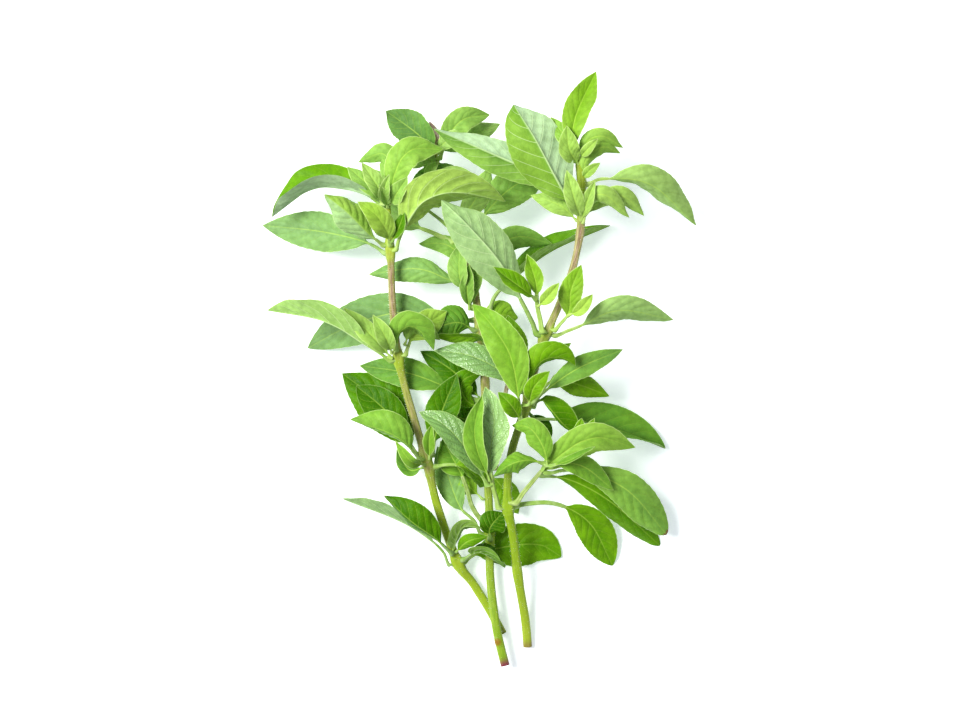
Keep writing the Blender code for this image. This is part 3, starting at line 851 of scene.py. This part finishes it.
# %% The two faces of a leaf
def leaf_face(name, roughness, shine, pebble, greens, pale_sheen_colour, line_colour, rib, vein, vein_width):
    """A leaf's face: green by age, a pale tone that is partly painted sheen and light, grain,
    cells, veins, a pale margin and a brown tip.

    rib and vein are how strongly the midrib and the side veins show, vein_width is in mm, and
    pebble is the height of the finest bumps in metres.
    """
    r = Recipe(name, roughness, Specular_IOR_Level=shine)
    age, along = r.field("age"), r.field("along")
    from_rib, from_edge = r.field("from_rib"), r.field("from_edge")
    grain = r.noise(420.0, 4.0)
    older = r.plus(age, r.times(r.field("tone"), 0.06))
    older = r.plus(older, r.fade(r.noise(60.0), 0.3, 0.7, -0.07, 0.07))
    older = r.plus(older, r.fade(along, 0.0, 0.5, -0.14, 0.0))
    older = r.plus(older, r.fade(from_rib, 0.3, 4.0, 0.10, -0.04))
    green = r.ramp(older, greens)
    # mix in the pale blue-green by the leaf's own number: partly paler tone, partly painted sheen
    # and painted light
    green = r.blend(r.field("paleness_and_sheen"), green, pale_sheen_colour)
    green = r.blend(r.fade(grain, 0.35, 0.65, 0.0, 0.22), green, DARK_GRAIN)
    cell = r.cells(1500.0)
    green = r.blend(r.fade(cell, 0.12, 0.5, 0.10, 0.0), green, CELL_GLINT)

    phase = r.field("phase")
    off_vein = r.maths("ABSOLUTE", r.maths("SUBTRACT", phase, r.maths("ROUND", phase)))
    off_vein = r.times(off_vein, r.field("vein_step"))
    vein_line = r.fade(off_vein, 0.04, vein_width, 1.0, 0.0)
    rib_line = r.fade(from_rib, 0.06, 0.38, 1.0, 0.0)
    side_veins = r.times(vein_line, r.fade(from_edge, 0.2, 2.5, 0.15, vein))
    midrib = r.times(rib_line, r.fade(along, 0.3, 1.0, rib, 0.3 * rib))
    lines = r.maths("MAXIMUM", side_veins, midrib)
    green = r.blend(lines, green, r.blend(0.65, green, line_colour))
    rim = r.times(r.fade(from_edge, 0.06, 0.30, 0.6, 0.0), r.fade(age, 0.4, 1.0, 1.0, 0.5))
    green = r.blend(rim, green, RIM_COLOUR)
    ragged = r.plus(along, r.fade(grain, 0.2, 0.8, -0.02, 0.02))
    scorched = r.times(r.fade(ragged, 0.968, 0.985), r.field("brown"))
    r.set("Base Color", r.blend(scorched, green, TIP_BROWN))
    r.set("Roughness", r.fade(grain, 0.3, 0.7, roughness - 0.07, roughness + 0.09))
    r.bump(r.plus(r.times(cell, 0.8), r.times(vein_line, -0.7)), pebble)
    return r.material


UPPER_LOOK = {
    "greens": UPPER, "pale_sheen_colour": PALE_SHEEN_COLOUR, "line_colour": RIB_COLOUR, "vein_width": 0.24
}
UNDER_LOOK = {
    "greens": UNDER, "pale_sheen_colour": UNDER_PALE_SHEEN_COLOUR, "line_colour": UNDER_VEIN_COLOUR,
    "rib": 0.85, "vein": 0.65, "vein_width": 0.40,
}
upper_face = leaf_face("leaf upper face", 0.42, 0.06, 0.00010, rib=0.62, vein=0.30, **UPPER_LOOK)
glossy_face = leaf_face(
    "glossy leaf upper face", 0.30, 0.50, 0.00026, rib=0.50, vein=0.28, **UPPER_LOOK
)
under_face = leaf_face("leaf underside", 0.60, 0.10, 0.00010, **UNDER_LOOK)


# %% The leaf stalk
def stalk_skin():
    """Green by age, turned brown by the purple number, with pale streaks."""
    r = Recipe("leaf stalk", 0.5, Sheen_Weight=0.08, Specular_IOR_Level=0.25)
    streak = r.noise(500.0, 3.0)
    green = r.ramp(r.field("age"), STALK)
    brown = r.blend(r.fade(streak, 0.35, 0.65), (0.20, 0.115, 0.085), (0.34, 0.25, 0.17))
    colour = r.blend(r.field("purple"), green, brown)
    colour = r.blend(r.fade(streak, 0.4, 0.7, 0.0, 0.25), colour, (0.55, 0.62, 0.36))
    r.set("Base Color", colour)
    r.bump(streak, 0.0001)
    return r.material


leaf_finishes = [upper_face, under_face, stalk_skin()]
glossy_finishes = [glossy_face] + leaf_finishes[1:]
print("leaf finishes:", ", ".join(m.name for m in glossy_finishes + leaf_finishes[:1]))

# %% [markdown]
# ## Growing the leaves
#
# Each measured leaf gets its age, from 0 for a new yellow-green leaf to 1 for an old dark one, and
# how much pale blue-green it carries, as one number or as one for each half: partly the leaf's own
# paler tone, partly painted sheen on halves that face the light and painted light on leaves that
# lie in shade. A few leaves also have a scorched tip or a brownish stalk, and some end more bluntly
# than the rest. Seeding the random numbers from the leaf's name keeps its waves and its vein count
# the same in every run.

# %% Leaf traits: age, and a pale tone with painted sheen and painted light
# for each leaf: age, and its pale blue-green as one share or one for each half, partly paler tone
# and partly painted sheen and painted light
TRAITS = {
    "left_1_pale": (1.00, 0.3), "left_1_dark": (1.00, 0), "left_1_right": (1.00, 0),
    "left_2_light": (0.54, 0.15), "left_2_back": (0.81, 0), "left_2_front": (0.94, 0),
    "left_2_upright": (1.00, 0), "left_2_thin": (0.59, 0), "left_3_pale": (0.51, 0.15),
    "left_3_arch": (0.57, 0.15), "left_3_right": (0.00, 0), "left_4_flat": (0.83, 0.5),
    "left_4_big": (0.78, (0.75, 0)), "left_4_light": (0.05, (0.8, 0.1)), "left_4_front": (0.00, 0),
    "left_4_arch": (0.10, 0), "left_5_arch": (0.36, 0.15), "middle_1_left": (0.78, 0.4),
    "left_1_under": (0.64, 0), "middle_1_front": (0.95, 0), "middle_low_shoot": (0.69, 0.1),
    "middle_2_left": (0.76, 0.15), "middle_brown_shoot": (0.50, 0), "middle_3_big": (0.98, 0.45),
    "middle_3_dark": (0.80, 0.1), "middle_3_thin": (0.49, 0), "middle_left_shoot": (0.29, 0.3),
    "middle_4_left": (0.66, 0.4), "middle_right_shoot": (0.73, 0), "middle_5_right": (0.46, 0.25),
    "middle_5_dark": (0.75, 0.2), "middle_5_far": (0.25, 0.4), "middle_6_tip": (0.98, 0.2),
    "middle_6_right": (0.30, 0.25), "right_1_long_stalk": (0.70, 0),
    "right_low_left_shoot": (0.50, 0.6), "right_1_pale": (0.79, 0.4),
    "right_low_right_shoot": (0.32, 0.1), "right_1_arch": (0.52, 0.1), "right_1_dark": (0.75, 0),
    "right_1_big": (0.63, 0.2), "right_2_front": (0.45, 0.08), "right_2_shiny": (0.83, 0.45),
    "right_2_arch": (0.58, 0), "right_2_pale": (0.73, 0.2), "right_2_dark": (0.48, 0),
    "right_2_veined": (0.85, 0), "right_2_big": (0.83, 0.1), "right_3_big": (0.75, 0.4),
    "right_high_left_shoot": (0.34, 0), "right_3_curved": (0.58, 0),
    "right_high_right_shoot": (0.30, 0), "right_3_right": (0.15, 0.5),
    "right_4_wide": (0.86, (0.7, 0.0)), "right_4_long": (0.89, (0.75, 0.05)),
    "right_4_right": (0.00, 0.4), "right_5_top": (0.38, 0),
}
SCORCHED = {"left_1_dark", "right_1_big"}
BROWN_STALKS = {
    "middle_low_shoot": 0.2, "middle_brown_shoot": 0.9, "middle_right_shoot": 0.1,
    "right_low_left_shoot": 0.1, "right_low_right_shoot": 0.2,
}
BLUNT = {
    "right_1_big": 0.62, "right_1_dark": 0.66, "right_1_long_stalk": 0.8, "left_1_under": 0.8,
    "right_2_big": 0.85, "left_2_front": 0.85, "middle_3_big": 0.88, "right_4_wide": 0.85,
}
GLOSSY = {"right_1_pale", "right_low_left_shoot", "right_2_shiny", "right_4_long", "left_1_pale"}


# %% Grow one piece for each measured leaf
grown = 0
for name, line in leaves.items():
    rng = np.random.default_rng(sum(ord(letter) * (i + 1) for i, letter in enumerate(name)))
    finishes = glossy_finishes if name in GLOSSY else leaf_finishes
    traits = (*TRAITS[name], float(name in SCORCHED), BROWN_STALKS.get(name, 0))
    part = leaf_part(line, traits, rng, taper=BLUNT.get(name, 1.0))
    piece = make_mesh(name + "_leaf", [part], finishes)
    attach(piece, "root")
    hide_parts(name)
    grown += len(piece.data.polygons)
print(f"{len(leaves)} leaves, {grown} faces")

# %% Grow the tufts
TUFT_FINE = 44
# pale blue-green for each tuft's leaves: partly their own paler tone, partly painted light on tufts
# that lie in shade
TUFT_PALENESS_AND_SHEEN = {
    "left_2": 0.1, "left_3": 0.2, "left_5": 0.25, "middle_4": 0.25, "middle_5": 0.3,
    "middle_6": 0.4, "right_1": 0.12, "right_4": 0.2, "right_5": 0.15,
}

for joint, rows in tufts.items():
    rng = np.random.default_rng(sum(ord(letter) for letter in joint))
    paleness_and_sheen = TUFT_PALENESS_AND_SHEEN.get(joint, 0)
    parts = [leaf_part(line, (age, paleness_and_sheen, 0, 0), rng, fine=TUFT_FINE) for line, age in rows]
    piece = make_mesh(joint + "_tuft", parts, leaf_finishes)
    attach(piece, "root")
print(f"{len(tufts)} tufts")

# %% [markdown]
# ## The stems
#
# A basil stem is square with rounded corners and shallow grooved sides. It swells at each joint,
# where the leaf stalks sit on small cushions, and it is hairy near the tips. The lower stem is
# green, and sun-grown parts turn purple-brown. A squarish section carried along the measured line
# gives all of this, with the cushions found from where the leaves really start.

# %% Find the seats of the leaves
SEAT_SAMPLES = 800


def turned(line, s, away):
    """The angle round the stem, at distance s along it, at which the vector away points."""
    side = follow(line, "side", s)[0]
    face = follow(line, "face", s)[0]
    return math.atan2(away @ face, away @ side)


def seats_on(line):
    """(distance along the stem, angle round it) of each leaf that starts at the stem's skin."""
    found = []
    at = np.linspace(0, line["at"][-1], SEAT_SAMPLES)
    axis = follow(line, "centre", at)
    for leaf in leaves.values():
        foot = leaf["centre"][1]
        k = np.argmin(np.linalg.norm(axis - foot, axis=1))
        away = foot - axis[k]
        if np.linalg.norm(away) < SEAT_REACH:
            found.append((at[k], turned(line, at[k : k + 1], away)))
    return found


# %% How each stem is coloured along its length
# knots of (share of the length from the cut end, strength)
PURPLE = {
    "left_stem": [
        (0, 0.0), (0.36, 0.05), (0.43, 0.6), (0.55, 0.6), (0.62, 0.3), (0.66, 0.1), (0.70, 0.9),
        (0.86, 0.95), (0.90, 0.2), (1, 0.1),
    ],
    "middle_stem": [(0, 0.05), (0.3, 0.1), (0.45, 0.45), (0.6, 0.8), (0.8, 0.7), (1, 0.4)],
    "right_stem": [
        (0, 0.05), (0.30, 0.0), (0.40, 0.25), (0.48, 0.3), (0.53, 0.8), (0.60, 0.9), (0.68, 0.6),
        (0.74, 0.9), (0.85, 0.95), (0.90, 0.15), (1, 0.05),
    ],
}
YELLOWED = {
    "left_stem": [(0, 0.5), (0.3, 0.6), (0.45, 0.3), (0.6, 0.5), (1, 0.9)],
    "middle_stem": [(0, 0.1), (0.3, 0.2), (1, 0.5)],
    "right_stem": [(0, 0.75), (0.2, 0.3), (0.4, 0.1), (1, 0.6)],
}
DRIED_END = {"left_stem": 0.3, "middle_stem": 1.0, "right_stem": 0.55}
# where a lost leaf has left a scar: (share of the length, direction in which it faces)
OLD_SCARS = {"middle_stem": (0.047, np.array((-0.45, 0.0, 0.9)))}


# %% The stem surface
AROUND = 40
ROW_STEP = 0.9
CUSHION_HEIGHT, CUSHION_LONG, CUSHION_WIDE = 0.7, 2.2, 0.55
RING_HEIGHT, RING_LONG, RING_BELOW = 0.14, 0.6, 2.4
SCAR_HEIGHT, SCAR_LONG, SCAR_WIDE = 0.25, 1.4, 0.9


def round_line(centre, radius, theta, one, two):
    """Points at a radius and an angle theta from one towards two, round each centre."""
    turn = np.cos(theta)[..., None] * one + np.sin(theta)[..., None] * two
    return centre + radius[..., None] * turn


def stem_rows(line, seats, scar):
    """Rows of the stem: the radius is R(s) (0.94 + 0.06 cos 4 theta), plus a cushion at each seat.

    A cushion is a smooth bump with a thin ring round the stem just below it. A scar is a low
    flat-topped bump, and fine ridges run lengthwise.
    """
    s = np.arange(0, line["at"][-1], ROW_STEP)
    theta = np.linspace(0, 2 * np.pi, AROUND, endpoint=False)[None, :]
    centre = follow(line, "centre", s)
    side = unit(follow(line, "side", s))
    face = unit(follow(line, "face", s))
    radius = follow(line, "radius", s)[:, None]
    ridges = 0.008 * np.cos(20 * theta + 0.05 * s[:, None])
    shape = radius * (0.94 + 0.06 * np.cos(4 * theta) + ridges)
    cushion = np.zeros_like(shape)
    ring = np.zeros((len(s), 1))
    for place, angle in seats:
        past = s[:, None] - place
        apart = np.angle(np.exp(1j * (theta - angle)))
        cushion += bell(past, CUSHION_LONG) * bell(apart, CUSHION_WIDE)
        ring = np.maximum(ring, bell(past + RING_BELOW, RING_LONG))
    shape = shape + CUSHION_HEIGHT * np.minimum(cushion, 1.2) + RING_HEIGHT * ring
    mark = np.zeros_like(shape)
    if scar:
        share, facing = scar
        k = np.argmin(np.abs(s - share * s[-1]))
        angle = math.atan2(facing @ face[k], facing @ side[k])
        apart = np.angle(np.exp(1j * (theta - angle)))
        away = np.hypot(((s - s[k]) / SCAR_LONG)[:, None], apart / SCAR_WIDE)
        mark = np.exp(-(away**4))
        shape = shape + SCAR_HEIGHT * mark
    rows = off_table(round_line(centre[:, None], shape, theta, side[:, None], face[:, None]))
    joint = np.maximum(np.minimum(cushion, 1), 0.6 * ring)
    return s, theta, rows, joint, mark


# %% The stem as a part
CUT_STEPS = ((0.45, 0.45), (0.75, 0.20), (0.93, 0.0), (0.99, -0.05))
CUT_DEPTH = 0.5
CUT_SIDE = 1
GRAIN_STRETCH = 14.0
DRIED_REACH = 2.6


def stem_part(name):
    """A stem's closed skin: the cut face first, then the rows, then a rounded tip.

    The cut face is rows at growing shares of the first row's radius, each sunk a little into the
    stem. Streaks follow a grain whose pattern is stretched along the stem.
    """
    line = stems[name]
    s, theta, rows, joint, mark = stem_rows(line, seats_on(line), OLD_SCARS.get(name))
    heart = rows[0].mean(axis=0)
    inward = unit(line["centre"][1] - line["centre"][0])
    cut = [heart + share * (rows[0] - heart) + sunk * inward for share, sunk in CUT_STEPS]
    lead = len(cut)
    skin = np.vstack([cut, rows])
    points, quads, triangles = lay_skin(skin, heart + CUT_DEPTH * inward, line["tip"])
    share = s / s[-1]

    def along(knots):
        """The knots' strength at each row."""
        return np.interp(share, *np.array(knots).T)[:, None]

    def whole(values, foot=0.0, tip=0.0):
        """One number for each point: the first row's for the cut, the rows', and the poles'."""
        values = values * np.ones_like(joint)
        cut_values = np.repeat(values[:1], lead, axis=0)
        return np.concatenate([cut_values.ravel(), values.ravel(), [foot, tip]])

    streaks = (np.cos(theta), np.sin(theta), (s / GRAIN_STRETCH)[:, None])
    fields = {
        "purple": whole(along(PURPLE[name]) * (1 - 0.75 * joint)),
        "joint": whole(joint),
        "scar": whole(mark),
        "ridge": whole(0.5 + 0.5 * np.cos(4 * theta)),
        "yellowed": whole(along(YELLOWED[name])),
        "dried": whole(
            DRIED_END[name] * np.exp(-((s[:, None] / DRIED_REACH) ** 3)), DRIED_END[name]
        ),
        "grain": np.column_stack([whole(values) for values in streaks]),
    }
    fields = {key: value.astype(np.float32) for key, value in fields.items()}
    kind = np.repeat([CUT_SIDE, 0], [lead * AROUND, (len(s) - 1) * AROUND])
    caps = np.repeat([CUT_SIDE, 0], AROUND)
    return (points, quads, triangles, (kind, caps), fields), rows, s


# %% [markdown]
# ## Stem skin and cut end
#
# The skin mixes green and purple-brown by a number that each row of the stem carries, with fine
# lengthwise streaks. The cut face shows pale pith inside a darker rim that has dried.

# %% The stem finishes
def stem_skin():
    """Green or yellowed, turned brown by the purple number, with paler ridges and joints."""
    r = Recipe("stem skin", 0.42, Sheen_Weight=0.05, Sheen_Roughness=0.4, Specular_IOR_Level=0.2)
    purple = r.field("purple")
    streak = r.noise(3.0, 4.0, r.field("grain", "Vector"))
    fine = r.noise(900.0, 3.0)
    green = r.blend(r.fade(streak, 0.30, 0.70), (0.12, 0.265, 0.003), (0.20, 0.34, 0.006))
    green = r.blend(r.field("yellowed"), green, (0.31, 0.39, 0.022))
    brown = r.blend(r.fade(streak, 0.38, 0.62), (0.19, 0.10, 0.075), (0.38, 0.27, 0.18))
    colour = r.blend(r.times(purple, r.fade(streak, 0.25, 0.6, 0.75, 1.15)), green, brown)
    ridge = r.times(r.field("ridge"), r.fade(purple, 0.2, 0.8, 0.12, 0.30))
    colour = r.blend(ridge, colour, (0.38, 0.52, 0.04))
    colour = r.blend(r.times(r.field("joint"), 0.5), colour, (0.31, 0.48, 0.04))
    colour = r.blend(r.field("scar"), colour, (0.23, 0.11, 0.008))
    dried = r.blend(streak, (0.11, 0.008, 0.035), (0.24, 0.05, 0.055))
    colour = r.blend(r.field("dried"), colour, dried)
    colour = r.blend(r.fade(fine, 0.5, 0.75, 0.0, 0.12), colour, (0.46, 0.56, 0.12))
    r.set("Base Color", colour)
    r.bump(r.plus(streak, r.times(fine, 0.5)), 0.00015)
    return r.material


def cut_face(name, pith, rim):
    """The cut end: pith with grains of the rim's colour."""
    r = Recipe(name, 0.6)
    grain = r.noise(1400.0, 4.0)
    r.set("Base Color", r.blend(r.fade(grain, 0.35, 0.65), pith, rim))
    r.bump(grain, 0.0002)
    return r.material


bark = stem_skin()
CUTS = {
    "left_stem": cut_face("left cut", (0.36, 0.42, 0.20), (0.25, 0.20, 0.10)),
    "middle_stem": cut_face("middle cut", (0.55, 0.33, 0.33), (0.20, 0.02, 0.05)),
    "right_stem": cut_face("right cut", (0.36, 0.24, 0.12), (0.17, 0.07, 0.03)),
}

# %% Hairs
HAIR_FOOT = 0.055
HAIR_ROOT = 0.1
HAIR_LEAN = 0.35
HAIR_CLEARANCE = 0.2
HAIR_LENGTH = (0.4, 1.0)
HAIR_FACES = np.array([(0, 1, 3), (1, 2, 3), (2, 0, 3), (2, 1, 0)])


def hair_part(foot, out, rng):
    """Hairs as thin three-sided spikes: three points round the foot, and a tip along out.

    A hair that stands lower than its own length above the table is bent up.
    """
    n = len(foot)
    tall = rng.uniform(*HAIR_LENGTH, n)
    lean = unit(out + HAIR_LEAN * rng.normal(size=(n, 3)))
    lean[:, 2] = np.where(foot[:, 2] < tall + HAIR_CLEARANCE, np.abs(lean[:, 2]), lean[:, 2])
    one = unit(np.cross(lean, rng.normal(size=(n, 3))))[:, None]
    two = np.cross(lean[:, None], one)
    turn = 2 * np.pi * np.arange(3) / 3
    root = foot[:, None] - HAIR_ROOT * lean[:, None]
    base = round_line(root, np.full(3, HAIR_FOOT), turn, one, two)
    points = np.concatenate([base, (foot + tall[:, None] * lean)[:, None]], axis=1)
    triangles = (4 * np.arange(n)[:, None, None] + HAIR_FACES).reshape(-1, 3)
    no_quads = np.zeros((0, 4), dtype=int)
    kinds = (np.zeros(0), np.zeros(len(triangles)))
    return points.reshape(-1, 3), no_quads, triangles, kinds, {}


def hair_skin():
    """Off-white, a little greyer in patches."""
    r = Recipe("hair", 0.5, Sheen_Weight=0.3)
    patch = r.fade(r.noise(700.0), 0.35, 0.65)
    r.set("Base Color", r.blend(patch, (0.55, 0.60, 0.45), (0.72, 0.74, 0.66)))
    return r.material


# %% Grow the stems and their hairs
HAIRS_PER_MM = 7
TOWARDS_TIP = 0.8
down = hair_skin()
for name in STEMS:
    part, rows, s = stem_part(name)
    piece = make_mesh(name + "_skin", [part], [bark, CUTS[name]])
    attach(piece, "root")
    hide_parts(name)
    rng = np.random.default_rng(len(name))
    count = int(HAIRS_PER_MM * s[-1])
    row = (len(s) * rng.random(count) ** TOWARDS_TIP).astype(int)
    column = rng.integers(0, AROUND, count)
    foot = rows[row, column]
    out = unit(foot - rows.mean(axis=1)[row])
    hairs = make_mesh(name + "_hairs", [hair_part(foot, out, rng)], [down])
    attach(hairs, "root")
    print(f"{name}: {len(piece.data.polygons)} faces and {count} hairs")

# %% [markdown]
# ## The bud
#
# The middle sprig ends in a reddish-brown flower bud between two leaves. It is a small pointed
# form with overlapping scales and a coat of hair, made as rings whose radius swells and closes
# again while ripples run round it.

# %% The bud
BUD_LENGTH = 12.0
BUD_RADIUS = 3.1
BUD_GRID = 40
BUD_SUNK = 0.8
BUD_HAIRS = 260
BUD_SEED = 5


def bud_rows(foot, axis):
    """Rows of the bud: radius sin(pi t^0.8)^0.7 with ripples cos(5 theta + 9 t) for the scales."""
    t = np.linspace(0.02, 0.98, BUD_GRID)[:, None]
    theta = np.linspace(0, 2 * np.pi, BUD_GRID, endpoint=False)[None, :]
    one = unit(np.cross(axis, (0.0, 0.0, 1.0)))
    scales = 0.10 * np.cos(5 * theta + 9 * t) + 0.05 * np.cos(8 * theta - 31 * t)
    radius = BUD_RADIUS * np.sin(np.pi * t**0.8) ** 0.7 * (1 + scales)
    middle = foot + BUD_LENGTH * t[:, :, None] * axis
    return round_line(middle, radius, theta, one, np.cross(axis, one))


def bud_skin():
    """Reddish brown, with paler dry patches."""
    r = Recipe("bud", 0.7, Sheen_Weight=0.4)
    patch = r.noise(900.0, 4.0)
    stops = [(0.3, (0.17, 0.075, 0.065)), (0.5, (0.40, 0.24, 0.20)), (0.7, (0.52, 0.45, 0.33))]
    r.set("Base Color", r.ramp(patch, stops))
    r.bump(patch, 0.0004)
    return r.material


bud_axis = unit(np.array((-0.13, 0.93, 0.35)))
bud_foot = stems["middle_stem"]["tip"] - BUD_SUNK * bud_axis
rows = bud_rows(bud_foot, bud_axis)
points, quads, triangles = lay_skin(rows, bud_foot, bud_foot + BUD_LENGTH * bud_axis)
faces = (np.zeros(len(quads)), np.zeros(len(triangles)))
bud = make_mesh("middle_bud", [(points, quads, triangles, faces, {})], [bud_skin()])
rng = np.random.default_rng(BUD_SEED)
row, column = rng.integers(4, BUD_GRID - 4, BUD_HAIRS), rng.integers(0, BUD_GRID, BUD_HAIRS)
out = unit(rows[row, column] - rows.mean(axis=1)[row])
bud_hairs = make_mesh("middle_bud_hairs", [hair_part(rows[row, column], out, rng)], [down])
for piece in (bud, bud_hairs):
    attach(piece, "root")
print(f"a bud {BUD_LENGTH:.0f} mm long with {BUD_HAIRS} hairs")

# %% [markdown]
# ## Table, light and camera
#
# The bunch lies on white, lit softly from the upper left, and the camera looks straight down. A
# large area light gives soft shadows, and a bright world fills them.

# %% The table
FLOOR_HALF = 1.5
GLOW = 0.42
floor_mesh = bpy.data.meshes.new("floor")
edge = FLOOR_HALF * np.array([(-1, -1, 0), (1, -1, 0), (1, 1, 0), (-1, 1, 0)], dtype=float)
floor_mesh.from_pydata(edge.tolist(), [], [(0, 1, 2, 3)])
paper = Recipe("white table", 0.8)
paper.set("Base Color", (0.92, 0.94, 0.96))
paper.set("Emission Color", (0.84, 0.93, 1.0))
paper.set("Emission Strength", GLOW)
floor_mesh.materials.append(paper.material)
floor = in_scene("floor", floor_mesh)

# %% Light
SKY_STRENGTH = 0.46
WINDOW_PLACE = (-1.15, 0.50, 1.65)
WINDOW_SIZE = 0.9
WINDOW_WATTS = 73.0
world = bpy.data.worlds.new("studio")
world.use_nodes = True
sky = world.node_tree.nodes["Background"].inputs
sky["Color"].default_value = (0.97, 0.99, 1.0, 1)
sky["Strength"].default_value = SKY_STRENGTH
bpy.context.scene.world = world

lamp = bpy.data.lights.new("window", "AREA")
lamp.shape = "SQUARE"
lamp.size = WINDOW_SIZE
lamp.energy = WINDOW_WATTS
lamp.color = (1.0, 0.99, 0.95)
window = in_scene("window", lamp)
window.location = WINDOW_PLACE
window.rotation_mode = "QUATERNION"
window.rotation_quaternion = Vector(WINDOW_PLACE).to_track_quat("Z", "Y")
bpy.context.scene.view_settings.view_transform = "Standard"

# %% The camera, straight above
CAMERA_HEIGHT = 1.0
SEEN_WIDTH = 0.384
CAMERA_OVER = (0.001, 0.005)
SENSOR_WIDTH = 36.0
camera_data = bpy.data.cameras.new("camera")
camera_data.sensor_width = SENSOR_WIDTH
camera_data.lens = SENSOR_WIDTH * CAMERA_HEIGHT / SEEN_WIDTH
camera_data.clip_end = 10.0
camera = in_scene("camera", camera_data)
camera.location = (*CAMERA_OVER, CAMERA_HEIGHT)
bpy.context.scene.camera = camera
